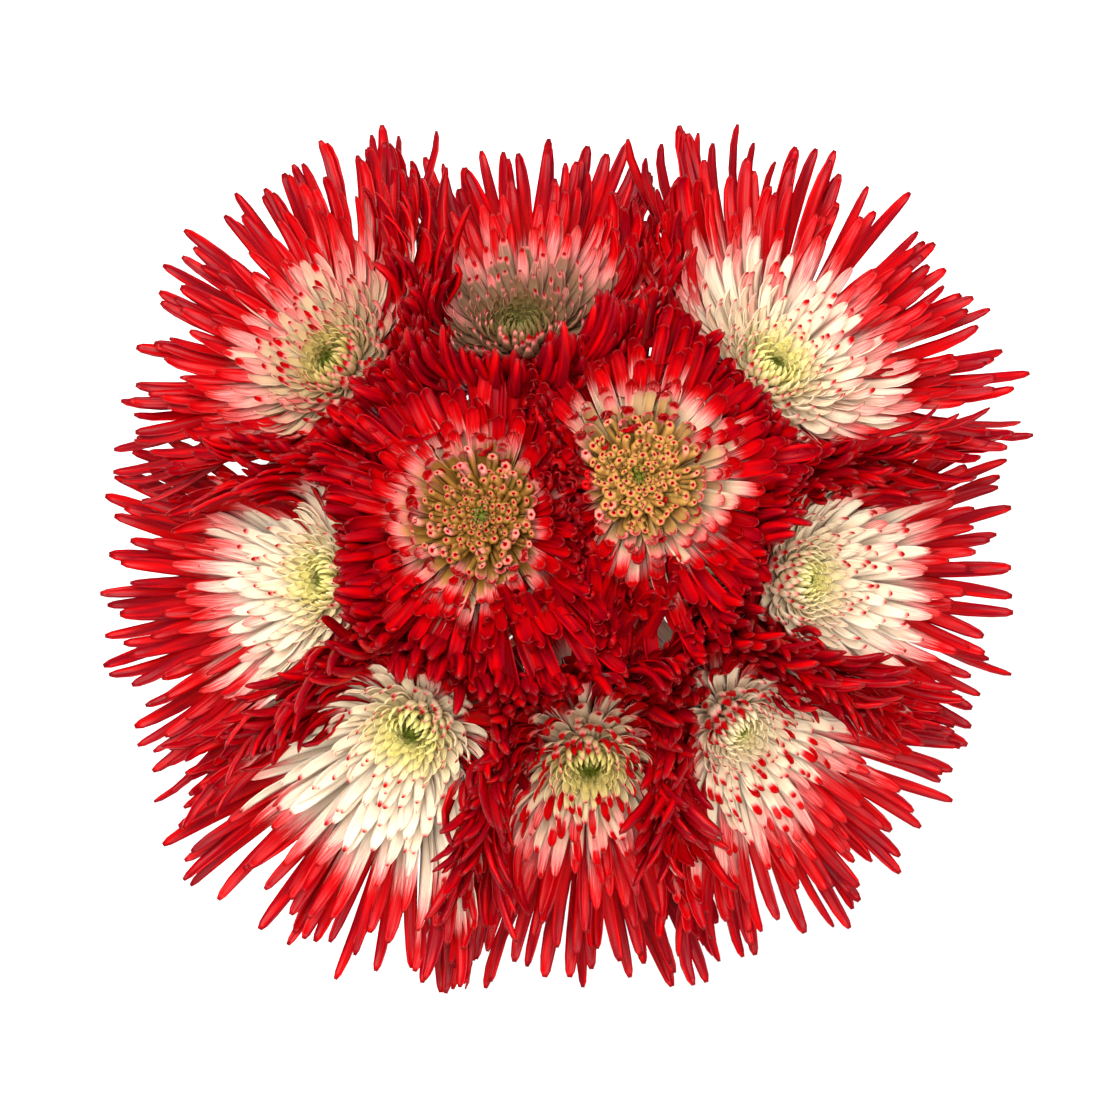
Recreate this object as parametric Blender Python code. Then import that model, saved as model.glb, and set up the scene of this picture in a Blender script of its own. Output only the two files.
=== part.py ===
"""A hand-tied posy of ten spider chrysanthemums, standing on the cut ends of its spiral of stems.

Metres, +Z up. The cut ends stand on z = 0, and the origin is under the middle of the dome of blooms.
Each bloom is one solid: a small core with quilled petals sunk into it. Each stem is one solid with the
green cup under its bloom, and the outer ones carry a lobed leaf. A tie of raffia holds the stems.
"""

import math
from types import SimpleNamespace

import bmesh
import bpy
import numpy as np

MM = 0.001
GAP = 0.3 * MM
GOLDEN_TURN = math.pi * (3.0 - math.sqrt(5.0))

# Blooms: x, y and z of the heart in mm, tilt from upright and heading in degrees, longest petal in mm,
# and how hard the bloom pushes its neighbours away. The first eight are the ring, the last two the top.
BLOOM_ROWS = [
    (57.8, 50.1, 258, 36, 41, 72, 0.55),
    (-11.5, 60.7, 268, 50, 93, 70, 0.55),
    (-63.5, 51.4, 256, 44, 140, 71, 0.55),
    (-66.2, -8.6, 264, 42, 180, 75, 0.55),
    (-40.8, -49.9, 274, 32, 238, 77, 0.60),
    (7.2, -59.3, 272, 40, 278, 72, 0.55),
    (48.5, -49.9, 266, 38, 314, 75, 0.55),
    (67.1, -8.6, 264, 42, 358, 72, 0.55),
    (-21.6, 8.4, 295, 12, 140, 60, 1.25),
    (19.9, 18.8, 293, 8, 80, 60, 1.25),
]
RING_BLOOMS = 8
HEAD_DEPTH = 20 * MM
PETALS_PER_BLOOM = 40

# Petals: how they leave the core, how long they are, and how they turn along a neighbour
SHORTEST_PETAL = 14 * MM
FULLNESS = 1.6
LEAN_HEART = 10
LEAN_SPAN = 72
LEAN_POWER = 0.62
HEART_CURL = -28
RIM_CURL = -10
ROOT_RING = 6.0 * MM
ROOT_LOW = 2.5 * MM
ROOT_SPAN = 8.0 * MM
LINE_STEPS = 12
LOOK_AHEAD = 8 * MM
RISE = 0.3
INNER_CRUSH = 0.3
WALL_ROOM = 2.6 * MM
PETAL_STATIONS = (0, 4, 8, 11, 12)
PETAL_HALF_WIDTHS = (1.0 * MM, 1.7 * MM, 2.3 * MM, 1.5 * MM, 0.0)
PETAL_KEEL = 0.62
PETAL_CROWN = 0.31
HEART_WIDTH = 0.62

# The core, as height above the base and radius in mm, and what it keeps clear of a wall
CORE_SIDES = 12
CORE_PROFILE = [(0.0, 7.2), (3.0, 12.5), (8.0, 18.0), (14.0, 16.5), (18.0, 9.0)]
CORE_TOP = 20.0
CORE_ROOM = 0.8 * MM

# Stems: a spiral that is tightest at the waist, where the tie holds it
STEM_SIDES = 8
STEM_RADIUS = 2.7 * MM
WAIST_Z = 130 * MM
WAIST_RING = 8.9 * MM
WAIST_PAIR = 2.95 * MM
RING_SLOPE = 0.46
PAIR_SLOPE = 0.20
STRAIGHT_ABOVE_WAIST = 9 * MM
CURVE_STATIONS = 7
RING_LAG = 58
PAIR_HEADING = 166
CUP_PROFILE = [(0.0, 7.6), (3.0, 6.8), (6.5, 4.4), (9.0, 2.9)]

# Leaves: one on each stem of the ring, at uneven heights, leaving it outwards
LEAF_LENGTH = 56 * MM
LEAF_HALF_WIDTH = 17 * MM
LEAF_THICKNESS = 0.9 * MM
LEAF_HEIGHT_SHARES = (0.36, 0.47, 0.33, 0.50, 0.40, 0.45, 0.31, 0.43)
LEAF_SIZES = (1.0, 0.86, 1.06, 0.92, 1.08, 0.84, 1.0, 0.9)
LEAF_RISES = (22, 34, 14, 28, 18, 36, 12, 26)
LEAF_SWINGS = (12, -14, 6, -10, 16, -6, -16, 8)
LEAF_DROOP = 0.42
LEAF_FOLD = 0.22
# Share of the length and of the half width at each lobe and each notch
LEAF_OUTLINE = [
    (0.0, 0.05), (0.22, 0.06), (0.34, 0.50), (0.42, 0.28), (0.56, 0.95),
    (0.62, 0.48), (0.78, 1.00), (0.82, 0.55), (0.92, 0.62), (1.0, 0.0),
]

# Tie: a band that follows the waist of the spiral
TIE_HALF_HEIGHT = 7 * MM
TIE_SLACK = 0.35 * MM
TIE_WALL = 2.2 * MM
TIE_SIDES = 28


def unit(vector):
    """The vector, or each row of an array of vectors, at length one."""
    vector = np.asarray(vector, float)
    return vector / np.linalg.norm(vector, axis=-1, keepdims=True)


def bloom_frames():
    """Each bloom's base, axis and side vectors, and the walls that part it from its neighbours.

    A wall between two blooms is a plane. It lies between their bases, in proportion to how hard each
    pushes, and it holds their mean axis, so that the petals on either side rise along it.
    """
    blooms = []
    for x, y, z, tilt, heading, longest, push in BLOOM_ROWS:
        t, h = math.radians(tilt), math.radians(heading)
        axis = np.array([math.sin(t) * math.cos(h), math.sin(t) * math.sin(h), math.cos(t)])
        side = unit(np.cross([0.0, 0.0, 1.0], axis))
        heart = np.array([x, y, z]) * MM
        blooms.append(SimpleNamespace(
            axis=axis, side=side, out=np.cross(side, axis), base=heart - HEAD_DEPTH * axis,
            longest=longest * MM, push=push, walls=[],
        ))
    for bloom in blooms:
        for other in blooms:
            if other is bloom:
                continue
            across = other.base - bloom.base
            share = bloom.push / (bloom.push + other.push)
            mean_axis = unit(bloom.push**2 * bloom.axis + other.push**2 * other.axis)
            normal = unit(across - (across @ mean_axis) * mean_axis)
            bloom.walls.append((bloom.base + share * across, normal))
    return blooms


def petal_lines(bloom, count, seed):
    """Centre lines of the petals, as an array of count by steps by 3, and each petal's rank from 0 to 1.

    Petals leave the core in a golden spiral. Short ones stand up round the heart and long ones lie out
    at the rim. Each line is walked in equal steps, and turns along a wall as it comes near.
    """
    random = np.random.default_rng(seed)
    rank = (np.arange(count) + 0.5) / count
    turn = np.arange(count) * GOLDEN_TURN + random.uniform(0, 2 * math.pi)
    radial = np.cos(turn)[:, None] * bloom.out + np.sin(turn)[:, None] * bloom.side
    hinge = np.cross(bloom.axis, radial)
    lean = np.radians(LEAN_HEART + LEAN_SPAN * rank**LEAN_POWER)
    length = SHORTEST_PETAL + (bloom.longest - SHORTEST_PETAL) * (1 - (1 - rank) ** FULLNESS)
    inward = np.clip(-np.cos(turn), 0, 1)
    length = length * (1 - INNER_CRUSH * inward * rank)
    bend = np.radians(HEART_CURL * (1 - rank) + RIM_CURL * rank) / LINE_STEPS
    root_height = ROOT_LOW + ROOT_SPAN * (1 - rank)
    point = bloom.base + root_height[:, None] * bloom.axis + ROOT_RING * np.sqrt(rank)[:, None] * radial
    heading = np.cos(lean)[:, None] * bloom.axis + np.sin(lean)[:, None] * radial
    stride = (length / LINE_STEPS)[:, None]
    line = [point]
    for _ in range(LINE_STEPS):
        heading = heading * np.cos(bend)[:, None] + np.cross(hinge, heading) * np.sin(bend)[:, None]
        for spot, normal in bloom.walls:
            room = (spot - point) @ normal - WALL_ROOM
            toward = np.clip(heading @ normal, 0, None) * np.clip(1 - room / LOOK_AHEAD, 0, 1)
            heading = unit(heading - toward[:, None] * normal + RISE * toward[:, None] * bloom.axis)
        point = point + stride * heading
        for spot, normal in bloom.walls:
            over = np.clip(WALL_ROOM - (spot - point) @ normal, 0, None)
            point = point - over[:, None] * normal
        line.append(point)
    return np.stack(line, axis=1), rank


def upper_side(bloom, line):
    """Unit vectors along each petal, up from its upper face, and across it."""
    along = unit(np.gradient(line, axis=1))
    from_base = line - bloom.base
    radial = unit(from_base - (from_base @ bloom.axis)[..., None] * bloom.axis)
    up = bloom.axis - radial
    up = unit(up - np.sum(up * along, axis=-1, keepdims=True) * along)
    return along, up, np.cross(along, up)


def petal_solid(line, up, across, width_scale):
    """Vertices and faces of one petal: a flat upper face over a keel, widest near its pointed tip."""
    vertices, rings = [], []
    for station, half_width in zip(PETAL_STATIONS, PETAL_HALF_WIDTHS):
        centre = line[station]
        if half_width == 0.0:
            rings.append([len(vertices)])
            vertices.append(centre)
            continue
        w = half_width * width_scale
        rings.append([len(vertices) + k for k in range(3)])
        vertices += [
            centre + across[station] * w + up[station] * w * PETAL_CROWN,
            centre - across[station] * w + up[station] * w * PETAL_CROWN,
            centre - up[station] * w * PETAL_KEEL,
        ]
    faces = [tuple(reversed(rings[0]))]
    for first, second in zip(rings[:-1], rings[1:]):
        for k in range(3):
            if len(second) == 1:
                faces.append((first[k], first[(k + 1) % 3], second[0]))
            else:
                faces.append((first[k], first[(k + 1) % 3], second[(k + 1) % 3], second[k]))
    return vertices, faces


def new_object(name, vertices, faces, material):
    """A closed mesh object, in triangles, with its faces made to point out."""
    solid = bmesh.new()
    corners = [solid.verts.new(vertex) for vertex in vertices]
    for face in faces:
        solid.faces.new([corners[k] for k in face])
    bmesh.ops.triangulate(solid, faces=solid.faces)
    bmesh.ops.recalc_face_normals(solid, faces=solid.faces)
    mesh = bpy.data.meshes.new(name)
    solid.to_mesh(mesh)
    solid.free()
    mesh.materials.append(material)
    thing = bpy.data.objects.new(name, mesh)
    bpy.context.scene.collection.objects.link(thing)
    return thing


def tube_faces(ring_count, sides):
    """Faces that join rings of vertices into a tube, and its two end faces."""
    faces = [tuple(range(sides)), tuple((ring_count - 1) * sides + k for k in reversed(range(sides)))]
    for ring in range(ring_count - 1):
        low = ring * sides
        for k in range(sides):
            step = (k + 1) % sides
            faces.append((low + k, low + sides + k, low + sides + step, low + step))
    return faces


def join_union(target, others):
    """One Boolean union of the target with a collection of solids, applied, with the others removed."""
    group = bpy.data.collections.new(target.name + "_joined")
    bpy.context.scene.collection.children.link(group)
    for other in others:
        bpy.context.scene.collection.objects.unlink(other)
        group.objects.link(other)
    union = target.modifiers.new("union", "BOOLEAN")
    union.operation = "UNION"
    union.operand_type = "COLLECTION"
    union.collection = group
    union.solver = "EXACT"
    evaluated = target.evaluated_get(bpy.context.evaluated_depsgraph_get())
    joined = bpy.data.meshes.new_from_object(evaluated)
    target.modifiers.clear()
    target.data = joined
    for other in others:
        bpy.data.objects.remove(other)
    bpy.data.collections.remove(group)


def bloom_core(name, bloom, material):
    """The crowded heart of the bloom: a turned dome on a flat base, flattened against each wall."""
    vertices = []
    for height, radius in CORE_PROFILE:
        centre = bloom.base + height * MM * bloom.axis
        for k in range(CORE_SIDES):
            angle = 2 * math.pi * k / CORE_SIDES
            outward = math.cos(angle) * bloom.out + math.sin(angle) * bloom.side
            reach = radius * MM
            for spot, normal in bloom.walls:
                toward = outward @ normal
                if toward > 0:
                    reach = min(reach, ((spot - centre) @ normal - CORE_ROOM) / toward)
            vertices.append(centre + reach * outward)
    faces = tube_faces(len(CORE_PROFILE), CORE_SIDES)
    top_ring = (len(CORE_PROFILE) - 1) * CORE_SIDES
    vertices.append(bloom.base + CORE_TOP * MM * bloom.axis)
    apex = len(vertices) - 1
    faces.pop(1)
    faces += [(top_ring + (k + 1) % CORE_SIDES, top_ring + k, apex) for k in range(CORE_SIDES)]
    return new_object(name, vertices, faces, material)


def build_bloom(number, bloom, material):
    """A bloom: its core and its petals, fused."""
    core = bloom_core(f"bloom_{number:02d}", bloom, material)
    lines, ranks = petal_lines(bloom, PETALS_PER_BLOOM, number)
    _, up, across = upper_side(bloom, lines)
    petals = []
    for k in range(PETALS_PER_BLOOM):
        width_scale = HEART_WIDTH + (1 - HEART_WIDTH) * ranks[k]
        vertices, faces = petal_solid(lines[k], up[k], across[k], width_scale)
        petals.append(new_object(f"petal_{number}_{k}", vertices, faces, material))
    join_union(core, petals)


def stem_line(number, bloom):
    """Points of a stem from its cut end to its bloom: straight through the tie, then a curve."""
    if number <= RING_BLOOMS:
        heading = math.radians(45 * number - RING_LAG)
        radius, slope = WAIST_RING, RING_SLOPE
    else:
        heading = math.radians(PAIR_HEADING + 180 * (number - RING_BLOOMS - 1))
        radius, slope = WAIST_PAIR, PAIR_SLOPE
    waist = np.array([radius * math.cos(heading), radius * math.sin(heading), WAIST_Z])
    rising = np.array([-slope * math.sin(heading), slope * math.cos(heading), 1.0])
    foot = waist - rising * WAIST_Z
    start = waist + rising * STRAIGHT_ABOVE_WAIST
    end = bloom.base - (GAP + CUP_PROFILE[-1][0] * MM) * bloom.axis
    reach = np.linalg.norm(end - start)
    start_pull, end_pull = unit(rising) * reach, bloom.axis * reach
    s = np.linspace(0, 1, CURVE_STATIONS)[:, None]
    curve = (2 * s**3 - 3 * s**2 + 1) * start + (s**3 - 2 * s**2 + s) * start_pull
    curve = curve + (3 * s**2 - 2 * s**3) * end + (s**3 - s**2) * end_pull
    return np.vstack([foot, curve])


def stem_solid(number, bloom, material):
    """A stem and the cup on its end, as one tube with a cut end that is flat on z = 0."""
    line = stem_line(number, bloom)
    top = bloom.base - GAP * bloom.axis
    cup = [(top - height * MM * bloom.axis, radius * MM) for height, radius in reversed(CUP_PROFILE)]
    stations = [(point, STEM_RADIUS) for point in line[:-1]] + cup
    points = np.array([point for point, _ in stations])
    along = unit(np.gradient(points, axis=0))
    along[0] = along[1] = unit(line[1] - line[0])
    along[-len(cup):] = bloom.axis
    vertices = []
    for index, (point, radius) in enumerate(stations):
        u = unit(bloom.side - (bloom.side @ along[index]) * along[index])
        v = np.cross(along[index], u)
        for k in range(STEM_SIDES):
            angle = 2 * math.pi * k / STEM_SIDES
            corner = point + radius * (math.cos(angle) * u + math.sin(angle) * v)
            if index == 0:
                corner = corner - along[0] * corner[2] / along[0][2]
            vertices.append(corner)
    stem = new_object(f"stem_{number:02d}", vertices, tube_faces(len(stations), STEM_SIDES), material)
    return stem, line


def leaf_solid(number, root, out, size, rise, material):
    """A lobed leaf on its stalk: a thin blade, folded up along its rib and drooping to its tip."""
    side = unit(np.cross([0.0, 0.0, 1.0], out))
    vertices = []
    for share, width in LEAF_OUTLINE:
        along = share * LEAF_LENGTH * size
        lift = along * (math.tan(math.radians(rise)) - LEAF_DROOP * share)
        rib = root + out * along + np.array([0.0, 0.0, lift])
        w = width * LEAF_HALF_WIDTH * size
        edge_up = np.array([0.0, 0.0, w * LEAF_FOLD])
        half = np.array([0.0, 0.0, LEAF_THICKNESS / 2])
        for level in (half, -half):
            vertices += [rib - side * w + edge_up + level, rib + level, rib + side * w + edge_up + level]
    last = len(LEAF_OUTLINE) - 1
    vertices = vertices[: last * 6] + [vertices[last * 6 + 1], vertices[last * 6 + 4]]
    tip_top, tip_low = last * 6, last * 6 + 1
    faces = [(0, 3, 4, 1), (1, 4, 5, 2)]
    for band in range(last - 1):
        a, b = band * 6, band * 6 + 6
        faces += [(a, a + 1, b + 1), (a, b + 1, b), (a + 1, a + 2, b + 1), (a + 2, b + 2, b + 1)]
        faces += [(a + 4, a + 3, b + 4), (b + 4, a + 3, b + 3), (a + 5, a + 4, b + 4), (b + 5, a + 5, b + 4)]
        faces += [(a + 3, a, b, b + 3), (a + 2, a + 5, b + 5, b + 2)]
    a = (last - 1) * 6
    faces += [(a, a + 1, tip_top), (a + 1, a + 2, tip_top), (a + 4, a + 3, tip_low)]
    faces += [(a + 5, a + 4, tip_low), (a + 3, a, tip_top, tip_low), (a + 2, a + 5, tip_low, tip_top)]
    return new_object(f"leaf_{number}", vertices, faces, material)


def build_stem(number, bloom, material):
    """A stem with its cup and, in the ring, its leaf."""
    stem, line = stem_solid(number, bloom, material)
    if number > RING_BLOOMS:
        return
    curve = line[1:]
    place = LEAF_HEIGHT_SHARES[number - 1] * (len(curve) - 1)
    low = int(place)
    root = curve[low] + (curve[low + 1] - curve[low]) * (place - low)
    heading = math.atan2(root[1], root[0]) + math.radians(LEAF_SWINGS[number - 1])
    out = np.array([math.cos(heading), math.sin(heading), 0.0])
    leaf = leaf_solid(number, root, out, LEAF_SIZES[number - 1], LEAF_RISES[number - 1], material)
    join_union(stem, [leaf])


def build_tie(material):
    """The band of raffia, a ring whose inner wall follows the waist of the spiral at a small gap."""
    slant = math.sqrt(1 + RING_SLOPE**2)
    vertices = []
    profile = []
    for share in (-1.0, 0.0, 1.0):
        height = share * TIE_HALF_HEIGHT
        inner = math.hypot(WAIST_RING, height * RING_SLOPE) + STEM_RADIUS + TIE_SLACK
        profile.append((height, inner))
    profile += [(height, inner + TIE_WALL * slant) for height, inner in reversed(profile)]
    count = len(profile)
    for k in range(TIE_SIDES):
        angle = 2 * math.pi * k / TIE_SIDES
        for height, radius in profile:
            vertices.append((radius * math.cos(angle), radius * math.sin(angle), WAIST_Z + height))
    faces = []
    for k in range(TIE_SIDES):
        here, there = k * count, (k + 1) % TIE_SIDES * count
        for m in range(count):
            n = (m + 1) % count
            faces.append((here + m, there + m, there + n, here + n))
    return new_object("tie", vertices, faces, material)


def new_material(name, colour, roughness):
    """A plain finish with the piece's own colour."""
    material = bpy.data.materials.new(name)
    material.use_nodes = True
    shader = material.node_tree.nodes["Principled BSDF"]
    shader.inputs["Base Color"].default_value = (*colour, 1.0)
    shader.inputs["Roughness"].default_value = roughness
    shader.inputs["Metallic"].default_value = 0.0
    return material


def main():
    for thing in list(bpy.data.objects):
        bpy.data.objects.remove(thing)
    petal = new_material("petal", (0.62, 0.03, 0.04), 0.45)
    green = new_material("stem_green", (0.13, 0.24, 0.06), 0.55)
    raffia = new_material("raffia", (0.62, 0.46, 0.24), 0.7)
    for number, bloom in enumerate(bloom_frames(), start=1):
        build_bloom(number, bloom, petal)
        build_stem(number, bloom, green)
    build_tie(raffia)


main()
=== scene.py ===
# %% [markdown]
# # A hand-tied bunch of spider chrysanthemums
#
# Ten heads of an ivory spider chrysanthemum have taken up red dye from the tips of their petals. They
# are pressed into one dome, and their stems cross in a spiral that is tied at its waist and stands on
# its cut ends. Each bloom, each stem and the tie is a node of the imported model's frame, and the pieces
# below take their places.

# %% Load the frame
import math
from types import SimpleNamespace

import bpy
import numpy as np
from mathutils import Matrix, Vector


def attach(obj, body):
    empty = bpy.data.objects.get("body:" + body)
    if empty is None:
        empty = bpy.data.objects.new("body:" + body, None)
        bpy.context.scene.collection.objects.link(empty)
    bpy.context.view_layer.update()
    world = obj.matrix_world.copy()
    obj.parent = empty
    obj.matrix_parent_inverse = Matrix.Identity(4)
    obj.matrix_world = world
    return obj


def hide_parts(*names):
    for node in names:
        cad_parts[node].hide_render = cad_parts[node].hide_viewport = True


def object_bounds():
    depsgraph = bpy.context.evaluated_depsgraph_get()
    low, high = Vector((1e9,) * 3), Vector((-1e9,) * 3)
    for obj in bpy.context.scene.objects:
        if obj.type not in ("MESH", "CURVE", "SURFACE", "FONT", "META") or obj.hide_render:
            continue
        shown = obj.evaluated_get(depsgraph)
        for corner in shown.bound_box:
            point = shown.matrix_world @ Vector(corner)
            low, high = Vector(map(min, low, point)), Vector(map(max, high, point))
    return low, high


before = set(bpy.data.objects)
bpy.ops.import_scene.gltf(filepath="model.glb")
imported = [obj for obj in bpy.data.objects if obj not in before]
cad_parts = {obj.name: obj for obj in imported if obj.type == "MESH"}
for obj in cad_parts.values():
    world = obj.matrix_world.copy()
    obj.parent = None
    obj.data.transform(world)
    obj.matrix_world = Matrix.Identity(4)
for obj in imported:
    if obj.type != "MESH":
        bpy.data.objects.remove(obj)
cad_box = [list(corner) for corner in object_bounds()]
print("frame:", len(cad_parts), "nodes in a box of", cad_box)

# %% [markdown]
# ## The camera
#
# The photograph looks straight down on the dome, with its head towards +Y, so the camera needs no turn:
# Blender's camera looks down -Z by itself. The lens comes from the scale of the picture.

# %% Make the camera
PICTURE_SIDE = 1100
PIXELS_PER_METRE_AT_ONE_METRE = 4500
SENSOR_WIDTH = 36.0
CAMERA_PLACE = (-0.0035, -0.0006, 1.47)


def new_object(name, data):
    """An object with its data, in the scene."""
    thing = bpy.data.objects.new(name, data)
    bpy.context.scene.collection.objects.link(thing)
    return thing


camera_data = bpy.data.cameras.new("camera")
camera_data.sensor_width = SENSOR_WIDTH
camera_data.lens = SENSOR_WIDTH * PIXELS_PER_METRE_AT_ONE_METRE / PICTURE_SIDE
camera = new_object("camera", camera_data)
camera.location = CAMERA_PLACE
bpy.context.scene.camera = camera
print("lens in mm:", round(camera_data.lens, 1))

# %% [markdown]
# ## Where the blooms are
#
# Each bloom has a heart, an axis that leans away from the middle of the dome, and a base below the
# heart where its petals start. Heads that are pressed together share a wall, where the petals of both
# turn up and stand side by side as a red ridge. A simulation of crowding could find the walls. A plane
# between two hearts is enough, since the petals are soft and only their tips show.

# %% Lay out the blooms
MM = 0.001
HEAD_DEPTH = 16 * MM
RING_BLOOMS = 8
# x, y, z and longest (its longest petal) are in mm, tilt and heading in degrees. push is how hard a bloom
# pushes its neighbours. border, in mm, is how far from the root a petal stays undyed, spread how gradual
# that is, and caught, in mm, how deep the dye sits in a short tip. tan and youth are tones, and the last
# field is how far a bloom is mixed towards a dark grey-brown
BLOOM_FIELDS = "x y z tilt heading longest push border spread caught tan youth faded".split()
BLOOM_ROWS = [
    (57.8, 50.1, 258, 39, 50, 80, 0.55, 29, 3.2, 0.9, 0.15, 1.0, 0.0),
    (-11.5, 60.7, 268, 46, 98, 78, 0.55, 25, 2.4, 1.0, 1.50, 2.6, 1.0),
    (-63.5, 51.4, 256, 44, 145, 75, 0.55, 23, 3.0, 1.6, 0.50, 1.3, 0.20),
    (-66.2, -8.6, 264, 42, 178, 89, 0.55, 33, 2.6, 0.6, 0.05, 0.9, 0.0),
    (-40.8, -49.9, 274, 33, 238, 87, 0.64, 43, 2.2, 0.8, 0.05, 1.1, 0.0),
    (7.2, -59.3, 272, 40, 278, 88, 0.60, 24, 3.0, 3.6, 0.42, 1.2, 0.0),
    (48.5, -49.9, 266, 38, 314, 77, 0.60, 29, 3.0, 2.4, 0.22, 0.4, 0.0),
    (67.1, -8.6, 264, 42, 358, 80, 0.55, 35, 2.4, 0.8, 0.08, 0.65, 0.0),
    (-21.6, 8.4, 295, 12, 140, 66, 1.20, 19, 1.3, 1.9, 1.45, 1.2, 0.1),
    (19.9, 18.8, 293, 8, 80, 64, 1.05, 21.5, 1.2, 1.7, 0.88, 1.2, 0.0),
]
# Petals of the ring creep this many times further under the two on top
UNDER_TOP = 2.6


def unit(vectors):
    """Each vector divided by its length."""
    vectors = np.asarray(vectors, float)
    return vectors / np.linalg.norm(vectors, axis=-1, keepdims=True)


def around(bloom, turn):
    """Directions square to a bloom's axis."""
    return np.cos(turn)[:, None] * bloom.out + np.sin(turn)[:, None] * bloom.side


def lay_out_blooms():
    """A bloom's base is its heart less its depth along the axis. Each wall passes between two hearts in
    proportion to the two pushes, along the mean of the two axes."""
    blooms = []
    for number, row in enumerate(BLOOM_ROWS, start=1):
        bloom = SimpleNamespace(number=number, node=f"bloom_{number:02d}", walls=[])
        bloom.in_ring = number <= RING_BLOOMS
        vars(bloom).update(zip(BLOOM_FIELDS, row))
        t, h = math.radians(bloom.tilt), math.radians(bloom.heading)
        bloom.axis = np.array([math.sin(t) * math.cos(h), math.sin(t) * math.sin(h), math.cos(t)])
        bloom.side = unit(np.cross([0.0, 0.0, 1.0], bloom.axis))
        bloom.out = np.cross(bloom.side, bloom.axis)
        bloom.heart = np.array([bloom.x, bloom.y, bloom.z]) * MM
        bloom.base = bloom.heart - HEAD_DEPTH * bloom.axis
        blooms.append(bloom)
    for bloom in blooms:
        for other in blooms:
            if other is not bloom:
                across = other.heart - bloom.heart
                mean_axis = unit(bloom.push**2 * bloom.axis + other.push**2 * other.axis)
                normal = unit(across - (across @ mean_axis) * mean_axis)
                spot = bloom.heart + across * bloom.push / (bloom.push + other.push)
                under = UNDER_TOP if bloom.in_ring and not other.in_ring else 1.0
                bloom.walls.append((spot, normal, under))
    return blooms


blooms = lay_out_blooms()
print("blooms:", [bloom.node for bloom in blooms])

# %% [markdown]
# ## How the petals run
#
# Petals, which are quilled ray florets, leave the receptacle in a golden spiral: the youngest are short
# and stand over the heart, the oldest are long and lie out at the rim.
# Each petal's centre line could be a drawn curve, but with some five thousand of them a rule is better.
# It says for each rank, from the heart to the rim, how far out and how high a tip is, how the petal
# curls and how wide it is. The ring and the two blooms on top follow one rule with other numbers.

# %% Describe the two habits of growth
# By rank: reach is a share of the longest petal, height and half_width are in mm, and curl in degrees.
# hook is the bend of a tip in degrees. At a wall a petal is lifted, or creeps under it and dips, or is
# pulled back, all in mm. ragged and loose are how untidy walls and hearts are. dye_uneven, in mm, is how
# the border of the dye varies, wall_red how much faster the dye deepens to crimson at a wall,
# partly dye and partly painted shade of the valleys between blooms, and all_red how much further it goes
RING_HABIT = SimpleNamespace(
    count=540,
    rank=(0.0, 0.04, 0.10, 0.20, 0.35, 0.55, 0.80, 1.0),
    reach=(0.01, 0.035, 0.085, 0.16, 0.30, 0.54, 0.84, 0.99),
    height=(16, 17.8, 19.3, 20, 20, 19.5, 17.5, 14),
    curl=(-50, -85, -80, -54, -34, -18, -9, -6),
    half_width=(0.7, 1.0, 1.35, 1.7, 1.9, 2.05, 2.05, 2.0),
    hook=20, lift=9.0, creep=8.0, dip=16.0, pull=17.0, ragged=1.0, loose=0.0, root_radius=8.0,
    green=(1.95, 1.30, 0.65, 0.25, 0.0),
    dye_uneven=4.5, wall_red=0.45, all_red=0.0,
)
TOP_HABIT = SimpleNamespace(
    count=460,
    rank=(0.0, 0.05, 0.15, 0.34, 0.48, 0.60, 0.74, 0.88, 1.0),
    reach=(0.01, 0.035, 0.09, 0.20, 0.30, 0.41, 0.57, 0.78, 0.98),
    height=(14, 16, 18, 20.5, 20.5, 19.5, 17.5, 14, 9),
    curl=(-40, -50, -45, -40, -20, -12, -14, -12, -8),
    half_width=(0.7, 1.2, 1.5, 1.7, 1.8, 1.95, 2.1, 2.2, 2.2),
    hook=14, lift=5.0, creep=1.0, dip=0.0, pull=0.0, ragged=0.6, loose=0.5, root_radius=5.5,
    green=(2.0, 1.7, 0.30, 0.05, 0.0),
    dye_uneven=2.5, wall_red=0.1, all_red=0.5,
)
print("petals:", RING_BLOOMS * RING_HABIT.count + (len(blooms) - RING_BLOOMS) * TOP_HABIT.count)

# %% [markdown]
# Where the tip of a petal would pass a wall it is pressed back to it, and the line follows, so that a
# ridge forms by itself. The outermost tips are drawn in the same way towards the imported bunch's sides.

# %% Press the petals together
STEPS = 16
PRESSINGS = 3
FOLLOW = 1.5
LIFTED_AFTER = 22.0 * MM
BOX_HALF = np.abs(np.array(cad_box))[:, :2].min(axis=0)
BOX_SPARE = 4.5 * MM


def smooth(value, low, high):
    """0 below low, 1 above high and a smooth step between."""
    t = np.clip((value - low) / (high - low), 0, 1)
    return t * t * (3 - 2 * t)


def draw_along(line, move):
    """A point of each line moves by its tip's whole move times a power of its share of the way."""
    share = np.linspace(0, 1, STEPS + 1) ** FOLLOW
    return line + share[:, None] * move[:, None]


def press(line, walls, room, creep, rise):
    """Each tip that is over a wall, less its room and what it creeps under, goes back along the wall's
    normal, and takes its rise times a tanh of how far it went. Also given: how far it went, and its gap
    to the nearest wall."""
    move = np.zeros_like(line[:, -1])
    for _ in range(PRESSINGS):
        for spot, normal, under in walls:
            over = np.clip(room - creep * under - (spot - line[:, -1] - move) @ normal, 0, None)
            move = move - over[:, None] * normal
    far = np.linalg.norm(move, axis=1)
    line = draw_along(line, move + np.tanh(far / LIFTED_AFTER)[:, None] * rise)
    gap = np.min([(spot - line[:, -1]) @ normal for spot, normal, _ in walls], axis=0)
    return line, far, gap


def keep_in_box(line):
    """A tip past a side stays past it by the spare times a tanh of as much in spares."""
    tip = line[:, -1, :2]
    past = np.clip(np.abs(tip) - BOX_HALF, 0, None)
    back = (past - BOX_SPARE * np.tanh(past / BOX_SPARE)) * np.sign(tip)
    return draw_along(line, np.concatenate([-back, np.zeros((len(line), 1))], axis=1))


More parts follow.
